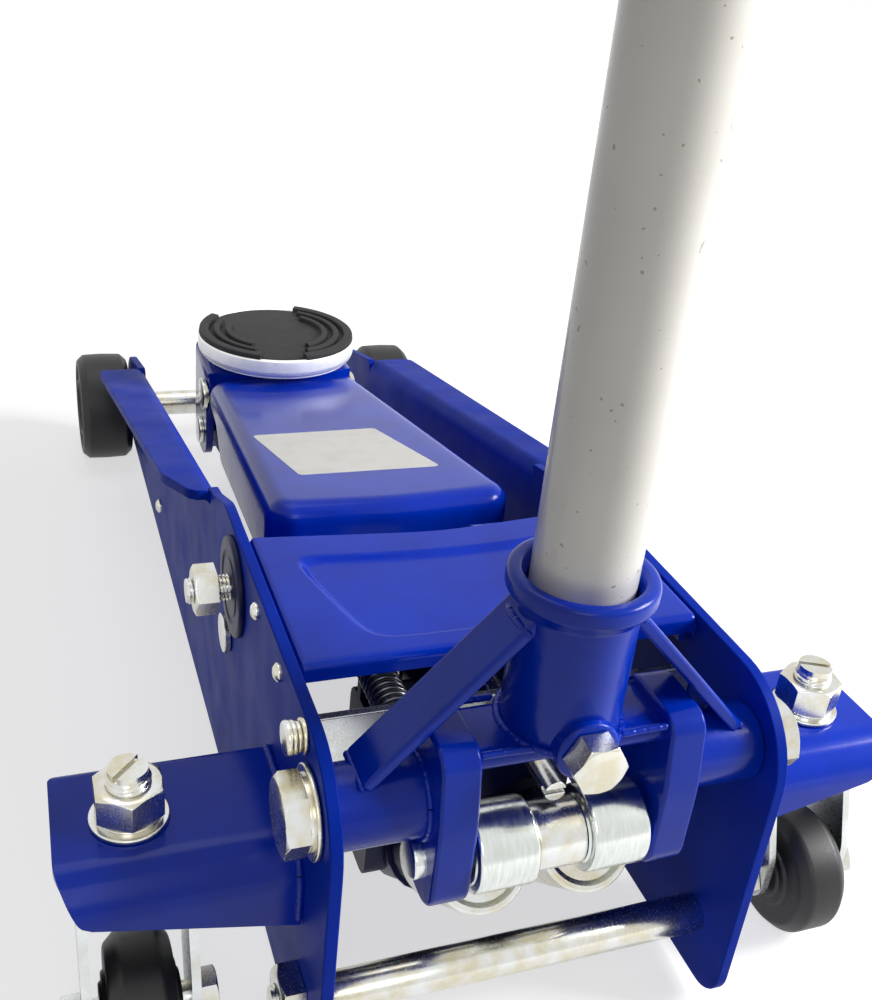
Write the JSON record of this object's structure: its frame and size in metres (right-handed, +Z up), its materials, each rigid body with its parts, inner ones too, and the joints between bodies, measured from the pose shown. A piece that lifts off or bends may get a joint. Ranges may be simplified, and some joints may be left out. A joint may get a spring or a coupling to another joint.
{
  "type": "trolley jack",
  "caption": "Hydraulic trolley jack: wheeled side-plate frame, pressed lift arm with level round saddle, and a pump handle in a hinged socket.",
  "frame": {"origin": "centre of the bounding box at floor level, under the lift arm", "axes": "+Z up, +Y from the handle towards the saddle, +X to the right of someone who stands at the handle; stored with the arm down and the handle upright"},
  "size_m": [0.3516, 0.6348, 1.0913],
  "materials": {
    "blue_paint": "gloss",
    "dark_blue_paint": "semi-gloss",
    "zinc_plate": "satin",
    "bright_steel": "polished",
    "black_nylon": "satin",
    "black_rubber": "matte",
    "cream_paint": "gloss",
    "spring_steel": "satin"
  },
  "bodies": {
    "frame": {"side_plate_left": "blue_paint", "side_plate_right": "blue_paint", "cover_plate": "blue_paint", "front_axle": "zinc_plate", "front_axle_washer_left": "zinc_plate", "front_axle_washer_right": "zinc_plate", "front_axle_nut_left": "zinc_plate", "front_axle_nut_right": "zinc_plate", "tie_rod": "zinc_plate", "tie_rod_nut_left": "zinc_plate", "tie_rod_nut_right": "zinc_plate", "pivot_bolt_left": "zinc_plate", "pivot_bolt_right": "zinc_plate", "power_unit": "dark_blue_paint", "cross_bar": "zinc_plate", "return_spring": "spring_steel", "arm_pivot_shaft": "dark_blue_paint", "arm_pivot_nut_left": "zinc_plate", "arm_pivot_nut_right": "zinc_plate", "radius_rod_stub_left": "zinc_plate", "radius_rod_stub_right": "zinc_plate", "caster_bracket_left": "blue_paint", "caster_bracket_right": "blue_paint", "caster_king_bolt_left": "zinc_plate", "caster_king_bolt_right": "zinc_plate", "caster_washer_left": "zinc_plate", "caster_washer_right": "zinc_plate", "caster_nut_left": "zinc_plate", "caster_nut_right": "zinc_plate"},
    "socket": {"handle_socket": "blue_paint", "clamp_bolt": "zinc_plate", "roller_pin": "bright_steel", "roller_spacer": "zinc_plate"},
    "handle": {"handle_tube_lower": "cream_paint", "handle_tube_upper": "cream_paint", "handle_grip": "black_rubber"},
    "roller_left": {"pump_roller_left": "bright_steel"},
    "roller_right": {"pump_roller_right": "bright_steel"},
    "cap_left": {"pump_cap_left": "zinc_plate"},
    "cap_right": {"pump_cap_right": "zinc_plate"},
    "release": {"release_shaft": "zinc_plate"},
    "arm": {"lift_arm": "blue_paint", "arm_lug_pin": "bright_steel"},
    "ram": {"ram": "bright_steel"},
    "rods": {"radius_rod_left": "blue_paint", "radius_rod_right": "blue_paint"},
    "saddle_frame": {"saddle_bracket": "blue_paint", "saddle_pin": "zinc_plate", "radius_rod_pin": "zinc_plate"},
    "saddle": {"saddle_cup": "zinc_plate", "saddle_pad": "black_rubber"},
    "wheel_left": {"front_wheel_left": "black_nylon"},
    "wheel_right": {"front_wheel_right": "black_nylon"},
    "fork_left": {"caster_fork_left": "zinc_plate", "caster_axle_left": "zinc_plate"},
    "fork_right": {"caster_fork_right": "zinc_plate", "caster_axle_right": "zinc_plate"},
    "caster_left": {"caster_wheel_left": "black_nylon"},
    "caster_right": {"caster_wheel_right": "black_nylon"}
  },
  "joints": [
    {"name": "pump_stroke", "type": "hinge", "parent": "frame", "child": "socket", "pos_m": [0, -0.2821, 0.131], "axis": [1, 0, 0], "range_deg": [0, 52]},
    {"name": "handle_twist", "type": "hinge", "parent": "socket", "child": "handle", "pos_m": [0, -0.2821, 0.166], "axis": [0, 0, 1], "range_deg": [0, 90]},
    {"name": "roller_spin_left", "type": "hinge", "parent": "socket", "child": "roller_left", "pos_m": [0, -0.2911, 0.109], "axis": [1, 0, 0], "continuous": true},
    {"name": "roller_spin_right", "type": "hinge", "parent": "socket", "child": "roller_right", "pos_m": [0, -0.2911, 0.109], "axis": [1, 0, 0], "continuous": true},
    {"name": "pump_piston_left", "type": "slide", "parent": "frame", "child": "cap_left", "axis": [0, 0.766, -0.6428], "range_m": [0, 0.01835]},
    {"name": "pump_piston_right", "type": "slide", "parent": "frame", "child": "cap_right", "axis": [0, 0.766, -0.6428], "range_m": [0, 0.01835]},
    {"name": "release_turn", "type": "hinge", "parent": "frame", "child": "release", "pos_m": [0, -0.2901, 0.128], "axis": [0, 1, 0], "range_deg": [0, 90]},
    {"name": "arm_lift", "type": "hinge", "parent": "frame", "child": "arm", "pos_m": [0, -0.1401, 0.134], "axis": [1, 0, 0], "range_deg": [0, 70]},
    {"name": "ram_push", "type": "slide", "parent": "frame", "child": "ram", "axis": [0, 1, 0], "range_m": [0, 0.0415]},
    {"name": "rod_swing", "type": "hinge", "parent": "frame", "child": "rods", "pos_m": [0, -0.1261, 0.1], "axis": [1, 0, 0], "range_deg": [0, 70]},
    {"name": "saddle_level", "type": "hinge", "parent": "arm", "child": "saddle_frame", "pos_m": [0, 0.1729, 0.092], "axis": [1, 0, 0], "range_deg": [-70, 0]},
    {"name": "saddle_turn", "type": "hinge", "parent": "saddle_frame", "child": "saddle", "pos_m": [0, 0.1834, 0.112], "axis": [0, 0, 1], "continuous": true},
    {"name": "wheel_roll_left", "type": "hinge", "parent": "frame", "child": "wheel_left", "pos_m": [0, 0.2774, 0.04], "axis": [1, 0, 0], "continuous": true},
    {"name": "wheel_roll_right", "type": "hinge", "parent": "frame", "child": "wheel_right", "pos_m": [0, 0.2774, 0.04], "axis": [1, 0, 0], "continuous": true},
    {"name": "caster_swivel_left", "type": "hinge", "parent": "frame", "child": "fork_left", "pos_m": [-0.148, -0.2441, 0.092], "axis": [0, 0, 1], "continuous": true},
    {"name": "caster_swivel_right", "type": "hinge", "parent": "frame", "child": "fork_right", "pos_m": [0.148, -0.2441, 0.092], "axis": [0, 0, 1], "continuous": true},
    {"name": "caster_roll_left", "type": "hinge", "parent": "fork_left", "child": "caster_left", "pos_m": [-0.148, -0.2641, 0.029], "axis": [1, 0, 0], "continuous": true},
    {"name": "caster_roll_right", "type": "hinge", "parent": "fork_right", "child": "caster_right", "pos_m": [0.148, -0.2641, 0.029], "axis": [1, 0, 0], "continuous": true}
  ],
  "couplings": [
    {"joint": "pump_piston_left", "follows": "pump_stroke", "m_per_rad": 0.02},
    {"joint": "pump_piston_right", "follows": "pump_stroke", "m_per_rad": 0.02},
    {"joint": "release_turn", "follows": "handle_twist", "ratio": 1},
    {"joint": "ram_push", "follows": "arm_lift", "m_per_rad": 0.033802},
    {"joint": "rod_swing", "follows": "arm_lift", "ratio": 1},
    {"joint": "saddle_level", "follows": "arm_lift", "ratio": -1}
  ]
}
